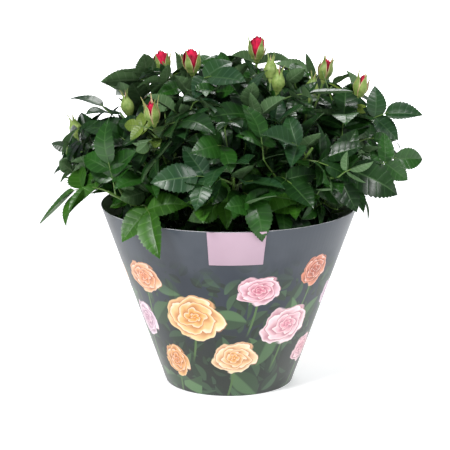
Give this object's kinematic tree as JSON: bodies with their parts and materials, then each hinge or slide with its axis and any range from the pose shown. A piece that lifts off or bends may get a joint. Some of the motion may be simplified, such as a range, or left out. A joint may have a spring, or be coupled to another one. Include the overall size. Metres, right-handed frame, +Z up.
{
  "type": "potted rose bush",
  "caption": "Miniature rose bush with glossy green leaves and red buds, rooted in a plastic pot inside a tapered card sleeve.",
  "frame": {"origin": "centre of the pot's flat underside", "axes": "+Z up along the pot's axis, -Y towards the front, where the label is, +X to the right as seen from the front"},
  "size_m": [0.3724, 0.3083, 0.356],
  "materials": {
    "printed_card": "satin",
    "label_card": "satin",
    "pot_plastic": "matte",
    "compost": "matte",
    "old_wood": "matte",
    "green_wood": "satin",
    "rose_leaf": "gloss",
    "rose_petal": "satin"
  },
  "bodies": {
    "root": {"sleeve": "printed_card", "label": "label_card", "pot": "pot_plastic", "soil": "compost", "stock_left": "old_wood", "stock_front": "old_wood", "stock_right": "old_wood", "stock_back_right": "old_wood", "stock_back_left": "old_wood", "cane_top": "green_wood", "foliage_top": "rose_leaf", "cane_top_left": "green_wood", "foliage_top_left": "rose_leaf", "cane_high_left": "green_wood", "foliage_high_left": "rose_leaf", "cane_high_right": "green_wood", "foliage_high_right": "rose_leaf", "cane_shoulder_right": "green_wood", "foliage_shoulder_right": "rose_leaf", "cane_front_left": "green_wood", "foliage_front_left": "rose_leaf", "cane_upper_left": "green_wood", "foliage_upper_left": "rose_leaf", "cane_shoulder_left": "green_wood", "foliage_shoulder_left": "rose_leaf", "cane_front_high": "green_wood", "foliage_front_high": "rose_leaf", "cane_middle_right": "green_wood", "foliage_middle_right": "rose_leaf", "cane_front_right": "green_wood", "foliage_front_right": "rose_leaf", "cane_front_low": "green_wood", "foliage_front_low": "rose_leaf", "cane_low_left": "green_wood", "foliage_low_left": "rose_leaf", "cane_low_right": "green_wood", "foliage_low_right": "rose_leaf", "cane_far_right": "green_wood", "foliage_far_right": "rose_leaf", "cane_back_left": "green_wood", "foliage_back_left": "rose_leaf", "cane_back_high": "green_wood", "foliage_back_high": "rose_leaf", "cane_back_right": "green_wood", "foliage_back_right": "rose_leaf", "cane_back_low_left": "green_wood", "foliage_back_low_left": "rose_leaf", "cane_back_low_right": "green_wood", "foliage_back_low_right": "rose_leaf"}
  },
  "joints": []
}
